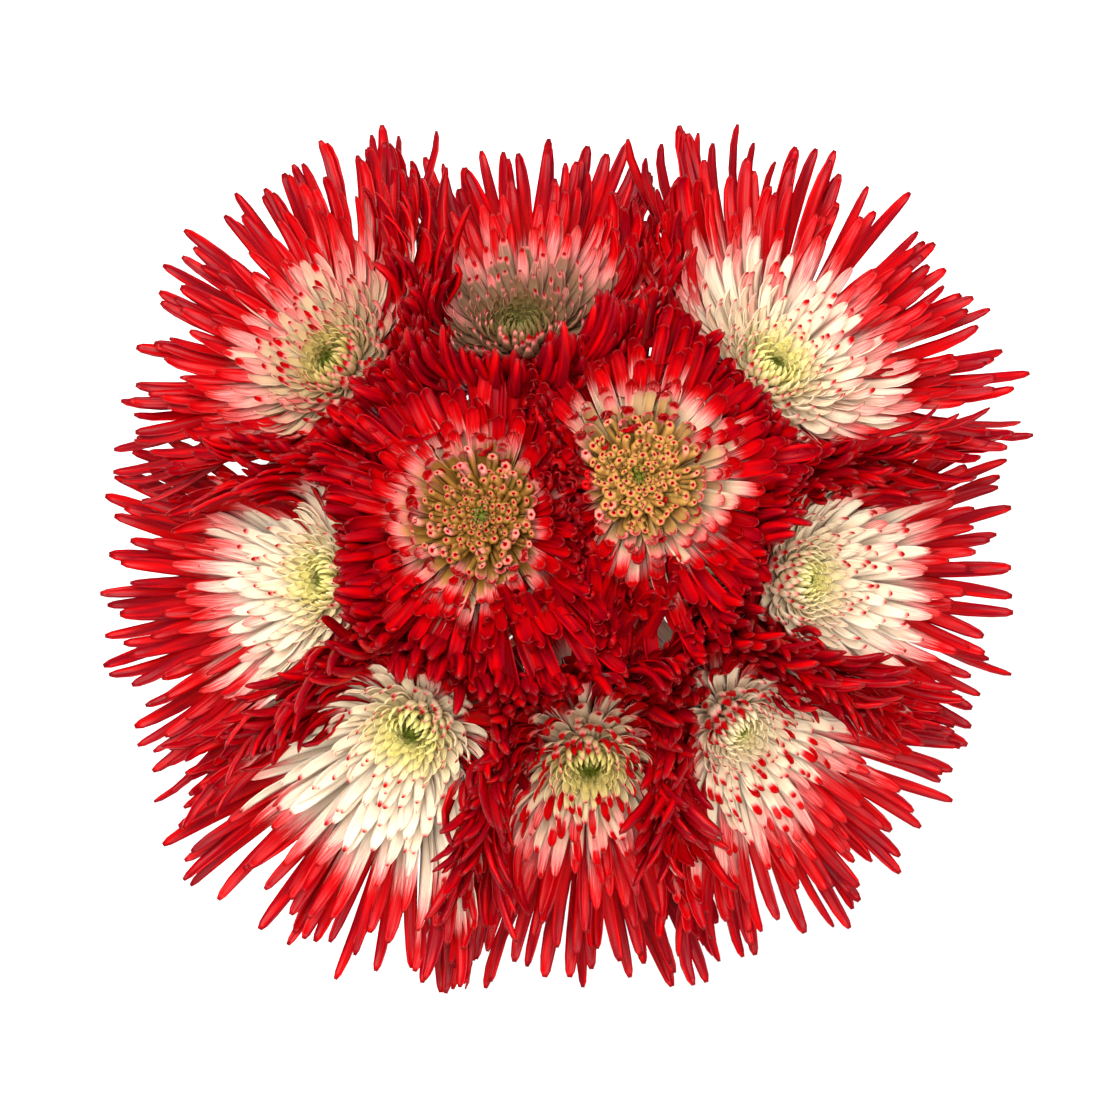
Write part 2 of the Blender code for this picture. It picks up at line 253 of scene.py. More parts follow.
# %% [markdown]
# A free line is laid from its root in equal steps that bend as the curl says, and the last two hook. The
# petals on the inner side of a ring bloom have less room, so they are shorter and lower.

# %% Lay the petals
GOLDEN_TURN = math.pi * (3.0 - math.sqrt(5.0))
ROOT_LOW = 2.0 * MM
ROOT_SPAN = 11.0 * MM
INNER_CRUSH = 0.12
INNER_SINK = 0.26
# Chance in turn (radians), reach (share), height (mm), curl and sway (degrees)
UNEVEN = SimpleNamespace(turn=0.06, reach=0.06, height=1.7, curl=6.0, sway=7.0)


def free_petals(bloom, habit, random):
    """Centre lines as an array of petals by steps by 3. The chord from root to tip gives the lean and
    the length of a petal whose direction turns by its curl, never quite 0, over its whole length."""
    count = habit.count
    rank = (np.arange(count) + 0.5) / count
    turn = np.arange(count) * GOLDEN_TURN + random.uniform(0, 2 * math.pi)
    turn = turn + random.normal(0, UNEVEN.turn, count)
    radial = around(bloom, turn)
    hinge = np.cross(bloom.axis, radial)
    root_out = habit.root_radius * MM * np.sqrt(rank)
    root_up = ROOT_LOW + ROOT_SPAN * (1 - rank) ** 0.8
    inward = np.clip(-np.cos(turn), 0, 1) * bloom.in_ring
    reach = bloom.longest * MM * np.interp(rank, habit.rank, habit.reach)
    out = reach * (1 - INNER_CRUSH * inward * rank) * (1 + random.normal(0, UNEVEN.reach, count)) - root_out
    up = np.interp(rank, habit.rank, habit.height) * (1 - INNER_SINK * inward * smooth(rank, 0.2, 0.6))
    up = (up + random.normal(0, UNEVEN.height, count) * (rank + habit.loose)) * MM - root_up
    curl = np.interp(rank, habit.rank, habit.curl) + random.normal(0, UNEVEN.curl, count)
    curl = np.radians(curl) - 0.001
    length = np.hypot(out, up) * (curl / 2) / np.sin(curl / 2)
    lean = np.arctan2(out, up) - curl / 2
    hook = np.radians(-habit.hook * random.uniform(0.2, 1.5, count)) * smooth(rank, 0.1, 0.35)
    sway = np.radians(random.normal(0, UNEVEN.sway, count)) * (rank + 3 * habit.loose * (1 - rank))
    step = np.arange(STEPS)
    bend = lean[:, None] + curl[:, None] * (step + 0.5) / STEPS
    bend = (bend + hook[:, None] * np.clip(step - STEPS + 3, 0, 2) / 2)[..., None]
    sideways = np.sin(sway[:, None] * step / STEPS)[..., None] * hinge[:, None]
    heading = unit(np.cos(bend) * bloom.axis + np.sin(bend) * radial[:, None] + sideways)
    root = bloom.base + root_up[:, None] * bloom.axis + root_out[:, None] * radial
    walked = np.cumsum(heading * (length / STEPS)[:, None, None], axis=1)
    line = np.concatenate([root[:, None], root[:, None] + walked], axis=1)
    return SimpleNamespace(line=line, length=length, rank=rank, turn=turn, hinge=hinge, inward=inward)


# %% [markdown]
# Then the walls and the box have their say. A part of the lowest petals doesn't stand up at a wall, but
# creeps under the neighbour's petals.

# %% Lay the petals against the walls
CREEP_SHARE = 0.40
INWARD_LOSS = 0.7
MINGLED = 1.2 * MM
NEAR_WALL = 3.5 * MM
FAR_WALL = 8.5 * MM


def petal_paths(bloom, habit, random):
    """The petals as they end up, with how long and how pressed each is, and how near a wall it ends."""
    free = free_petals(bloom, habit, random)
    count, rank, inward = habit.count, free.rank, free.inward
    room = random.normal(0, 1, count) * (1.3 + 1.5 * rank) * habit.ragged
    room = (room + 3.0 * (1 - rank)) * MM - MINGLED
    creeps = (random.uniform(0, 1, count) < CREEP_SHARE) * smooth(rank, 0.55, 0.85)
    lift = habit.lift * MM * random.uniform(0.4, 1.3, count) * (1 - creeps) * (1 - INWARD_LOSS * inward)
    lift = lift - habit.dip * MM * creeps * inward
    pull = habit.pull * MM * np.clip(0.5 + np.cos(free.turn), 0, 1)
    rise = lift[:, None] * bloom.axis - pull[:, None] * unit(free.line[:, -1] - free.line[:, 0])
    line, far, gap = press(free.line, bloom.walls, room, habit.creep * MM * creeps, rise)
    line = keep_in_box(line)
    return SimpleNamespace(
        line=line, hinge=free.hinge, rank=rank, inward=inward, pressed=smooth(far / free.length, 0.05, 0.40),
        length=np.linalg.norm(np.diff(line, axis=1), axis=2).sum(axis=1),
        walled=np.maximum(smooth(far, 0, NEAR_WALL), 1 - smooth(gap, NEAR_WALL, FAR_WALL)),
    )


# %% [markdown]
# ## The quill
#
# One petal is a strip rolled into a gutter: nearly a closed tube at its root, open like a spoon further
# out, and drawn in at its end. A plane bent by modifiers would do for one petal. For all of them at once,
# a profile is carried along every centre line: an arc seen from outside and a smaller arc seen from
# inside, so the petal has a real thickness and two rims.

# %% Describe the profile of a quill
def quill_form(stations, outer, least):
    """Where the profile is placed along a petal, and its shares of the opening angle, across the outer
    arc and back across the inner one, which keeps a least share of the radius."""
    there = np.linspace(-1, 1, outer)
    inside = np.array([0] * outer + [1] * (outer - 2))
    return SimpleNamespace(
        stations=np.array(stations), outer=outer, sides=2 * outer - 2, inside=inside,
        profile=np.concatenate([there, there[-2:0:-1]]), least=least,
    )


BLADE = quill_form((0.0, 0.22, 0.45, 0.66, 0.82, 0.92, 0.975, 1.0), 5, 0.3)
TUBE = quill_form((0.0, 0.45, 0.75, 0.88, 0.96, 1.0), 7, 0.12)

# %% [markdown]
# The profile stands square to the run of its petal, and is rolled about it.

# %% Carry the profile along the petals
def along_paths(line, stations):
    """Points of each line at shares of its length, between its two nearest steps."""
    place = stations * (line.shape[1] - 1)
    low = np.minimum(place.astype(int), line.shape[1] - 2)
    share = (place - low)[None, :, None]
    return line[:, low] * (1 - share) + line[:, low + 1] * share


def petal_frames(line, hinge, roll):
    """Across, which is the petal's hinge made square to its run, and up, both rolled about the petal."""
    along = unit(np.gradient(line, axis=1))
    across = unit(hinge - np.sum(hinge * along, axis=-1, keepdims=True) * along)
    up = np.cross(along, across)
    cos, sin = np.cos(roll)[..., None], np.sin(roll)[..., None]
    return across * cos + up * sin, up * cos - across * sin


def quill_points(form, line, across, up, radius, opening, skin, squash=1.0):
    """Petals by stations by points: the radius, inside less the skin, times the sine and minus cosine
    of the profile's shares of the opening angle."""
    angle = opening[..., None] * form.profile
    reach = np.maximum(radius[..., None] - skin * form.inside, form.least * radius[..., None])
    x = reach * np.sin(angle)
    y = -reach * np.cos(angle) * squash
    return line[:, :, None] + x[..., None] * across[:, :, None] + y[..., None] * up[:, :, None]


# %% [markdown]
# Faces go round and along the petal, and each end is closed between the arcs.

# %% Cover the petals with faces
def turned_faces(rings, sides):
    """Four-sided faces between rings of points."""
    start = np.arange(rings - 1)[:, None] * sides
    k = np.arange(sides)[None, :]
    a, b = start + k, start + (k + 1) % sides
    return np.stack([a, b, b + sides, a + sides], axis=-1).reshape(-1, 4)


def quill_faces(form, count):
    """Four-sided faces of every petal, and the triangles at the two rims of each end."""
    sides, stations = form.sides, len(form.stations)
    start = np.arange(count)[:, None, None] * stations * sides
    walls = (start + turned_faces(stations, sides)[None]).reshape(-1, 4)
    last = sides - 1
    quads = np.array([(j, j + 1, last - j, last - j + 1) for j in range(1, form.outer - 2)])
    tris = np.array([(0, 1, last), (form.outer - 2, form.outer - 1, form.outer)])
    end = (stations - 1) * sides
    quads = (start + np.concatenate([quads[:, ::-1], quads + end])[None]).reshape(-1, 4)
    tris = (start + np.concatenate([tris[:, ::-1], tris + end])[None]).reshape(-1, 3)
    return np.concatenate([walls, quads]), tris


# %% [markdown]
# ## From arrays to a mesh
#
# A part of a piece is its points and faces, with the numbers that its finish reads at each point and a
# map in millimetres across and along. Its faces are turned out where the enclosed volume comes out
# negative. Several parts make one mesh object that stands for a node.

# %% Put surfaces into Blender
def enclosed_volume(points, quads, tris):
    """A sixth of the sum of each triangle's triple product."""
    corners = points[np.concatenate([quads[:, [0, 1, 2]], quads[:, [0, 2, 3]], tris])]
    return np.einsum("ij,ij->i", corners[:, 0], np.cross(corners[:, 1], corners[:, 2])).sum() / 6


def surface(points, quads, tris, across, along, **values):
    """A closed surface with its faces turned out, and its values spread over its points."""
    shape = points.shape[:-1]
    points = points.reshape(-1, 3)
    quads, tris = np.asarray(quads, int).reshape(-1, 4), np.asarray(tris, int).reshape(-1, 3)
    if enclosed_volume(points, quads, tris) < 0:
        quads, tris = quads[:, ::-1], tris[:, ::-1]
    uv = np.stack([np.broadcast_to(across, shape).ravel(), np.broadcast_to(along, shape).ravel()], axis=-1)
    spread = {name: np.broadcast_to(value, shape).ravel() for name, value in values.items()}
    return SimpleNamespace(points=points, quads=quads, tris=tris, uv=uv, values=spread)


def make_piece(name, parts, material, node):
    """One smooth mesh object from several surfaces, riding on the frame in a node's place."""
    starts = np.cumsum([0] + [len(part.points) for part in parts])
    quads = np.concatenate([part.quads + start for part, start in zip(parts, starts)])
    tris = np.concatenate([part.tris + start for part, start in zip(parts, starts)])
    mesh = bpy.data.meshes.new(name)
    mesh.from_pydata(np.concatenate([part.points for part in parts]), [], quads.tolist() + tris.tolist())
    mesh.polygons.foreach_set("use_smooth", np.ones(len(mesh.polygons), bool))
    for label in parts[0].values:
        numbers = np.concatenate([part.values[label] for part in parts])
        attribute = mesh.attributes.new(label, "FLOAT", "POINT")
        attribute.data.foreach_set("value", numbers.astype(np.float32))
    corner = np.empty(len(mesh.loops), np.int32)
    mesh.loops.foreach_get("vertex_index", corner)
    uv = np.concatenate([part.uv for part in parts])[corner]
    mesh.uv_layers.new(name="UVMap").data.foreach_set("uv", uv.astype(np.float32).ravel())
    mesh.materials.append(material)
    piece = new_object(name, mesh)
    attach(piece, "root")
    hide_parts(node)
    print(name, "triangles:", 2 * len(quads) + len(tris))


# %% [markdown]
# ## Helpers for the finishes
#
# The finishes are small networks of shader nodes that read the numbers on the mesh and its map.

# %% Link and mix shader nodes
def feed(tree, socket, value):
    """Link a socket, or set it to a number or a colour."""
    if isinstance(value, bpy.types.NodeSocket):
        tree.links.new(value, socket)
    else:
        socket.default_value = (*value, 1.0) if isinstance(value, tuple) and len(value) == 3 else value


def mix_colour(tree, factor, first, second):
    """Colour that goes from the first to the second as factor goes from 0 to 1."""
    node = tree.nodes.new("ShaderNodeMix")
    node.data_type = "RGBA"
    feed(tree, node.inputs[0], factor)
    feed(tree, node.inputs[6], first)
    feed(tree, node.inputs[7], second)
    return node.outputs[2]


def calculate(tree, operation, *values):
    """The result of a math node."""
    node = tree.nodes.new("ShaderNodeMath")
    node.operation = operation
    for socket, value in zip(node.inputs, values):
        feed(tree, socket, value)
    return node.outputs[0]


def ramp(tree, value, low, high, to_low=0.0, to_high=1.0):
    """A smooth step from to_low to to_high as value goes from low to high."""
    node = tree.nodes.new("ShaderNodeMapRange")
    node.interpolation_type = "SMOOTHSTEP"
    feed(tree, node.inputs["Value"], value)
    for name, number in (("From Min", low), ("From Max", high), ("To Min", to_low), ("To Max", to_high)):
        node.inputs[name].default_value = number
    return node.outputs[0]


# %% [markdown]
# Noise is laid out on the map in millimetres, so streaks keep their size on all pieces.

# %% Read the mesh and shape its surface
def mesh_value(tree, name):
    """The number that the mesh holds at each point."""
    node = tree.nodes.new("ShaderNodeAttribute")
    node.attribute_name = name
    return node.outputs["Fac"]


def streaks(tree, across, along, detail=2.0):
    """Noise on the mesh's map, with its fineness per millimetre across and along the piece."""
    mapping = tree.nodes.new("ShaderNodeMapping")
    tree.links.new(tree.nodes.new("ShaderNodeTexCoord").outputs["UV"], mapping.inputs["Vector"])
    mapping.inputs["Scale"].default_value = (across, along, 1.0)
    noise = tree.nodes.new("ShaderNodeTexNoise")
    tree.links.new(mapping.outputs[0], noise.inputs["Vector"])
    noise.inputs["Scale"].default_value = 1.0
    noise.inputs["Detail"].default_value = detail
    return noise.outputs["Fac"]


def dress(tree, shader, colour, roughness, height, strength, depth):
    """Colour, roughness and relief of a surface, with the depth of the relief in metres."""
    feed(tree, shader.inputs["Base Color"], colour)
    feed(tree, shader.inputs["Roughness"], roughness)
    node = tree.nodes.new("ShaderNodeBump")
    tree.links.new(height, node.inputs["Height"])
    node.inputs["Strength"].default_value = strength
    node.inputs["Distance"].default_value = depth
    tree.links.new(node.outputs[0], shader.inputs["Normal"])


def new_material(name):
    """An empty material with a Principled shader, its tree and the shader."""
    material = bpy.data.materials.new(name)
    material.use_nodes = True
    return material, material.node_tree, material.node_tree.nodes["Principled BSDF"]


# %% [markdown]
# ## The petal's finish
#
# The petal is ivory, and stained red where dye has soaked in. The border of the dye could be painted on
# the points, but it would blur between them. Instead each point holds its distance past the border in
# millimetres, and the shader turns that into an edge with fine streaks, because dye runs further along
# some veins than others.

# %% Build the petal material
IVORY = (0.86, 0.69, 0.50)
TAN = (0.38, 0.19, 0.028)
BROWN = (0.13, 0.05, 0.006)
YOUNG = (0.80, 0.72, 0.24)
HEART = (0.08, 0.12, 0.008)
PINK = (0.80, 0.23, 0.21)
RED = (0.46, 0.0, 0.001)
# Crimson: the deep red of far dyed tips, and at walls partly painted shade of the valleys
CRIMSON = (0.19, 0.0, 0.004)
DARK_GREY_BROWN = (0.19, 0.11, 0.06)
DRY = (0.10, 0.004, 0.004)
# Millimetres from the vein where the dye runs least far to the one where it runs furthest
VEIN_RUN = 8.0


def petal_material():
    """Green by youth, tan by bloom and a painted shade in tan and brown near the roots over ivory, then pink,
    red and crimson by how far the dye has run, the crimson at walls partly painted shade, with a dark dry
    edge at the end of a dyed petal."""
    material, tree, shader = new_material("petal")
    fine = streaks(tree, 3.0, 0.14, 3.0)
    broad = streaks(tree, 0.5, 0.05)
    soak, young, tan = mesh_value(tree, "soak"), mesh_value(tree, "young"), mesh_value(tree, "tan")
    run = calculate(tree, "MULTIPLY_ADD", calculate(tree, "SUBTRACT", fine, 0.5), VEIN_RUN, soak)
    run = calculate(tree, "MAXIMUM", run, mesh_value(tree, "tip"))
    colour = IVORY
    # tan above 1 turns brown. Near the roots of petals and eye florets, tan and brown are painted shade.
    for amount, low, tint in ((young, 0.0, YOUNG), (tan, 0.0, TAN), (tan, 1.0, BROWN), (young, 1.0, HEART)):
        colour = mix_colour(tree, ramp(tree, amount, low, low + 1.0), colour, tint)
    tone = tree.nodes.new("ShaderNodeHueSaturation")
    tree.links.new(colour, tone.inputs["Color"])
    tree.links.new(ramp(tree, broad, 0.3, 0.7, 0.90, 1.05), tone.inputs["Value"])
    # A bloom's own value mixes it towards a dark grey-brown, bloom 2 most
    colour = mix_colour(tree, mesh_value(tree, "faded"), tone.outputs[0], DARK_GREY_BROWN)
    colour = mix_colour(tree, ramp(tree, run, -4.0, 1.0), colour, PINK)
    colour = mix_colour(tree, ramp(tree, run, -1.0, 3.0), colour, RED)
    # Crimson where the dye has run far, which the tips really have, and at walls, where it is partly painted
    # shade of the valleys between blooms
    deep = calculate(tree, "MULTIPLY", ramp(tree, soak, 2.0, 12.0, 0.15, 1.0), ramp(tree, broad, 0.32, 0.60))
    colour = mix_colour(tree, deep, colour, CRIMSON)
    dry = ramp(tree, mesh_value(tree, "end"), 0.1, 1.3, 0.6, 0.0)
    dry = calculate(tree, "MULTIPLY", dry, ramp(tree, run, 0.0, 2.0))
    colour = mix_colour(tree, dry, colour, DRY)
    roughness = ramp(tree, fine, 0.2, 0.8, 0.24, 0.38)
    dress(tree, shader, colour, roughness, streaks(tree, 1.1, 0.02, 1.5), 0.5, 0.35 * MM)
    shader.inputs["Subsurface Weight"].default_value = 0.25
    shader.inputs["Subsurface Radius"].default_value = (1.0, 0.5, 0.3)
    shader.inputs["Subsurface Scale"].default_value = 1.5 * MM
    shader.inputs["Specular IOR Level"].default_value = 0.10
    return material


petal_finish = petal_material()

# %% [markdown]
# ## The blooms
#
# The blooms of the ring have an incurved green heart and petals that end in a small hook. The two on top
# are older: their open hearts have rows of short tubes with red mouths, and their long petals end like
# fingers.

# %% Shape the petals
ALL_ROUND = 3.09
SKIN = 0.32 * MM
# By station: a tube closes in on its last one
TUBE_SKIN = np.array([0.3, 0.3, 0.3, 0.3, 0.4, 9.0])[:, None] * MM


def blade_shape(rank, pressed):
    """Girth and opening in the ring: pointed scales in the heart, then straps with drawn out tips, and
    blunter ends where a petal is long and free."""
    s = BLADE.stations[None, :]
    young = 1 - smooth(rank, 0.16, 0.40)[:, None]
    free = (smooth(rank, 0.5, 0.8) * (1 - 0.6 * pressed))[:, None]
    scale = np.interp(s, (0, 0.22, 0.45, 0.66, 0.82, 0.92, 1), (0.75, 0.95, 1.0, 0.92, 0.68, 0.42, 0.10))
    flat = np.interp(s, (0, 0.3, 0.6, 1.0), (1.9, 1.3, 0.95, 0.8))
    short = np.interp(s, (0, 0.3, 0.66, 0.82, 0.92, 0.975, 1), (0.5, 0.8, 1.0, 0.94, 0.70, 0.42, 0.14))
    long = np.interp(s, (0, 0.3, 0.66, 0.82, 0.92, 0.975, 1), (0.5, 0.85, 1.0, 0.95, 0.82, 0.62, 0.28))
    opening = np.interp(s, (0, 0.3, 0.6, 0.85, 1.0), (2.4, 1.5, 0.95, 0.95, 1.3))
    girth = (short * (1 - free) + long * free) * (1 - young) + scale * young
    return girth, opening * (1 - young) + flat * young + 0.5 * pressed[:, None]


def finger_shape(rank, pressed):
    """Girth and opening of a top bloom's outer petals: from open spoons near the eye to closed fingers."""
    s = BLADE.stations[None, :]
    closed = smooth(rank, 0.50, 0.68)[:, None]
    spoon = np.interp(s, (0, 0.5, 0.92, 0.975, 1), (0.6, 0.85, 1.0, 0.82, 0.5))
    finger = np.interp(s, (0, 0.3, 0.7, 0.92, 0.975, 1), (0.5, 0.75, 1.0, 0.95, 0.72, 0.34))
    open_spoon = np.interp(s, (0, 0.5, 0.9, 1), (2.6, 1.6, 1.3, 1.9))
    open_finger = np.interp(s, (0, 0.3, 0.6, 0.9, 1), (2.6, 2.0, 1.3, 1.3, 1.9))
    opening = open_spoon * (1 - closed) + open_finger * closed
    return spoon * (1 - closed) + finger * closed, opening + 0.3 * pressed[:, None]


def tube_shape(rank, pressed):
    """Girth and opening of a floret in the eye: a plump closed tube, drawn in round a small mouth."""
    s = TUBE.stations[None, :]
    girth = np.interp(s, (0, 0.45, 0.75, 0.88, 0.96, 1), (0.65, 0.9, 1.0, 1.0, 0.92, 0.70))
    opening = np.full(s.shape, ALL_ROUND)
    return girth + 0 * rank[:, None], opening + 0 * pressed[:, None]


# %% [markdown]
# The dye reaches the same depth in all the long petals of a bloom, so it is measured from the root.
# Petals pressed against a neighbour stood deeper in it. Short petals only caught it at the very tip, and
# a tube in the eye holds it inside its mouth, behind a clean lip.

# %% Soak the petals in dye
PRESSED_RED = 22.0
LEAST_PRESSED = 0.35
CAUGHT_AT_WALL = 2.0
CAUGHT_OUTSIDE = 0.30
MOUTH_DEPTH = 0.7
UNDYED = -30.0


def dye_values(bloom, habit, form, paths, random):
    """Millimetres past the border of the dye, along the petal and in its tip or mouth, and millimetres
    from its end."""
    count = len(paths.rank)
    length = paths.length / MM
    along = length[:, None] * form.stations[None, :]
    dyed = PRESSED_RED * random.uniform(0.7, 1.4, count)
    dyed = dyed * (LEAST_PRESSED + (1 - LEAST_PRESSED) * paths.pressed)
    near_tip = length - dyed * (1 + (paths.inward + habit.all_red))
    border = bloom.border + random.normal(0, habit.dye_uneven, count)
    border = border + paths.walled * np.minimum(near_tip - bloom.border, 0)
    # At a wall the dye deepens faster to crimson: partly dye, partly painted shade of the valleys between
    # blooms
    soak = (along - border[:, None]) / bloom.spread * (1 + habit.wall_red * paths.walled[:, None])
    from_tip = (length[:, None] - along)[..., None] + np.zeros(form.sides)
    caught = bloom.caught * (0.2 + 2.0 * random.uniform(0, 1, count) ** 2) * (1 + 1.5 * paths.inward)
    caught = caught + CAUGHT_AT_WALL * paths.walled
    if form is TUBE:
        caught = (caught * smooth(paths.rank, 0.02, 0.10))[:, None, None]
        tip = np.where(form.inside == 1, 9.0 * (caught + MOUTH_DEPTH - from_tip), -12.0)
    else:
        caught = caught * smooth(paths.rank, 0.09, 0.17)
        caught = caught[:, None, None] * np.where(form.inside == 1, 1.0, CAUGHT_OUTSIDE)
        tip = np.where(caught > 0.1, 4.0 * (caught - from_tip) + 1.0, -9.0)
    soak = np.clip(soak, UNDYED, 60)[..., None] + np.zeros(form.sides)
    return soak, np.clip(tip, UNDYED, 14), from_tip


# %% [markdown]
# The receptacle is a low cushion that carries the petals. It shows as the dark green bud in a heart.

# %% Shape the receptacle
# Height and radius in mm
RECEPTACLE = [(0.5, 0.05), (0.5, 7.0), (3, 8.6), (7, 8.0), (11, 5.0), (14, 2.2), (15, 0.05)]
RECEPTACLE_SIDES = 20
BUD_GREEN = 1.9
FAR_FROM_END = 9.0


def turned(rings, across, along, **values):
    """A closed surface over rings of points, with triangles across the first and the last one."""
    count, sides = rings.shape[:2]
    fans = np.array([(0, k, k + 1) for k in range(1, sides - 1)])
    fans = np.concatenate([fans[:, ::-1], fans + (count - 1) * sides])
    return surface(rings, turned_faces(count, sides), fans, across, along, **values)


def receptacle(bloom):
    """A turned cushion round the bloom's axis. Its end rings are as good as points."""
    height, radius = np.array(RECEPTACLE).T * MM
    round_about = around(bloom, np.arange(RECEPTACLE_SIDES) * 2 * math.pi / RECEPTACLE_SIDES)
    rings = bloom.base + height[:, None, None] * bloom.axis + radius[:, None, None] * round_about
    return turned(rings, 0.0, 0.0, soak=UNDYED, tip=UNDYED, end=FAR_FROM_END, young=BUD_GREEN, tan=bloom.tan,
                  faded=0.0)


# %% [markdown]
# Petals are green by youth. Near their roots a painted shade in tan, brown in the eye, stands for the shade
# that the petals cast on each other. They roll and twist by chance, and each has its own place on the map, so
# that no two show the same veins.

# %% Make the petals' surfaces
GREEN_RANKS = (0.0, 0.03, 0.10, 0.22, 0.38)
OUTER_TAN_LOSS = 0.7
# Painted shade near the roots, where the petals shade each other: tan in the petals, brown in the eye
ROOT_PAINTED_SHADE = 0.38
EYE_ROOT_PAINTED_SHADE = 1.8
HEART_DARKENED = 0.45
# Chance in roll and twist (degrees) and width (share)
UNEVEN_QUILL = SimpleNamespace(roll=12.0, tube_roll=35.0, twist=16.0, width=0.1)


def petal_tones(bloom, habit, form, rank):
    """How green, how tan and how darkened petals are, with a painted shade as tan near their roots."""
    young = np.interp(rank, GREEN_RANKS, habit.green) * bloom.youth
    tan = bloom.tan * (1 - OUTER_TAN_LOSS * smooth(rank, 0.38, 0.75))
    # Painted shade as tan near the roots, as a least tan along each petal
    root_shade = EYE_ROOT_PAINTED_SHADE if form is TUBE else ROOT_PAINTED_SHADE
    tan = np.maximum(tan[:, None], root_shade * (1 - smooth(form.stations[None, :], 0.25, 0.65)))
    faded = bloom.faded * (HEART_DARKENED + (1 - HEART_DARKENED) * smooth(rank, 0.03, 0.25))
    return {"young": young[:, None, None], "tan": tan[..., None], "faded": faded[:, None, None]}


def quills(bloom, habit, form, shape, paths, skin, random):
    """The surface of some of a bloom's petals. A tube has no dry end."""
    count = len(paths.rank)
    s = form.stations[None, :]
    line = along_paths(paths.line, form.stations)
    twist = random.normal(0, UNEVEN_QUILL.twist, count) * paths.rank
    roll = random.normal(0, UNEVEN_QUILL.tube_roll if form is TUBE else UNEVEN_QUILL.roll, count)
    roll = np.radians(roll[:, None] + twist[:, None] * s)
    across, up = petal_frames(line, paths.hinge[:, None], roll)
    girth, opening = shape(paths.rank, paths.pressed)
    half_width = np.interp(paths.rank, habit.rank, habit.half_width)
    half_width = half_width * (1 + random.normal(0, UNEVEN_QUILL.width, count))
    radius = half_width[:, None] * MM * girth / np.sin(np.minimum(opening, math.pi / 2))
    squash = random.uniform(0.55, 0.95, count)[:, None, None] if form is TUBE else 1.0
    points = quill_points(form, line, across, up, radius, opening, skin, squash)
    place = random.uniform(0, 90, count)[:, None, None]
    u = radius[..., None] * opening[..., None] * form.profile / MM + place
    v = paths.length[:, None, None] * s[..., None] / MM + place + np.zeros(form.sides)
    soak, tip, end = dye_values(bloom, habit, form, paths, random)
    end = np.minimum(end + FAR_FROM_END * (form is TUBE), FAR_FROM_END)
    return surface(points, *quill_faces(form, count), u, v, soak=soak, tip=tip, end=end,
                   **petal_tones(bloom, habit, form, paths.rank))


# %% [markdown]
# The ring has one kind of petal. On top, the lowest ranks are florets and the others fingers.

# %% Make the blooms
SCENE_SEED = 40
EYE_RANKS = 0.40


def make_bloom(bloom):
    """The petals and the receptacle of a bloom as one piece."""
    random = np.random.default_rng(SCENE_SEED + bloom.number)
    habit = RING_HABIT if bloom.in_ring else TOP_HABIT
    paths = petal_paths(bloom, habit, random)
    eye = paths.rank < EYE_RANKS
    kinds = [(TUBE, tube_shape, TUBE_SKIN, eye), (BLADE, finger_shape, SKIN, ~eye)]
    if bloom.in_ring:
        kinds = [(BLADE, blade_shape, SKIN, slice(None))]
    parts = []
    for form, shape, skin, chosen in kinds:
        some = SimpleNamespace(**{name: values[chosen] for name, values in vars(paths).items()})
        parts.append(quills(bloom, habit, form, shape, some, skin, random))
    parts.append(receptacle(bloom))
    make_piece(f"{bloom.node}_petals", parts, petal_finish, bloom.node)


for bloom in blooms:
    make_bloom(bloom)

# %% [markdown]
# ## The stems
#
# Each stem runs straight through the tie, which holds it, and then bends over to meet its bloom square
# from below. A curve object with a bevel would give a plain tube; rings of points let the ribs, the
# joints and the cup of bracts come out of one formula.

# %% Run the stems
STEM_RADIUS = 2.7 * MM
WAIST_Z = 130 * MM
WAIST_RING = 8.9 * MM
WAIST_PAIR = 2.95 * MM
RING_SLOPE = 0.46
PAIR_SLOPE = 0.20
# Where the turn of the stems starts, in degrees
RING_START = -58
PAIR_START = 166
STRAIGHT_ABOVE_WAIST = 9 * MM
CUP_REACH = 9.3 * MM
STRAIGHT_POINTS = 20
CURVE_POINTS = 30


def stem_line(bloom):
    """Points from the cut end to the cup: a straight, then a cubic that ends along the bloom's axis."""
    if bloom.in_ring:
        heading = math.radians(360 / RING_BLOOMS * bloom.number + RING_START)
        radius, slope = WAIST_RING, RING_SLOPE
    else:
        heading = math.radians(PAIR_START + 180 * (bloom.number - RING_BLOOMS - 1))
        radius, slope = WAIST_PAIR, PAIR_SLOPE
    waist = np.array([radius * math.cos(heading), radius * math.sin(heading), WAIST_Z])
    rising = np.array([-slope * math.sin(heading), slope * math.cos(heading), 1.0])
    foot = waist - rising * WAIST_Z
    start = waist + rising * STRAIGHT_ABOVE_WAIST
    end = bloom.base - CUP_REACH * bloom.axis
    reach = np.linalg.norm(end - start)
    s = np.linspace(0, 1, CURVE_POINTS + 1)[1:, None]
    curve = (2 * s**3 - 3 * s**2 + 1) * start + (s**3 - 2 * s**2 + s) * unit(rising) * reach
    curve = curve + (3 * s**2 - 2 * s**3) * end + (s**3 - s**2) * bloom.axis * reach
    straight = foot + (start - foot) * np.linspace(0, 1, STRAIGHT_POINTS)[:, None]
    return np.concatenate([straight, curve])


# %% [markdown]
# The first ring of points lies inside the cut end and shows the pale pith. The two lowest ones are slid
# along the stem to the floor, which cuts it level.

# %% Shape the stalks
STEM_SIDES = 20
# Depth under the base and radius in mm
CUP_PROFILE = [(9, 2.9), (6.5, 4.4), (3, 6.8), (0.3, 7.6)]
RIBS = 6
RIB_HEIGHT = 0.045
RIBBED_BELOW = 1.2
# In mm
JOINT_STEP = 42
JOINT_LENGTH = 2.6


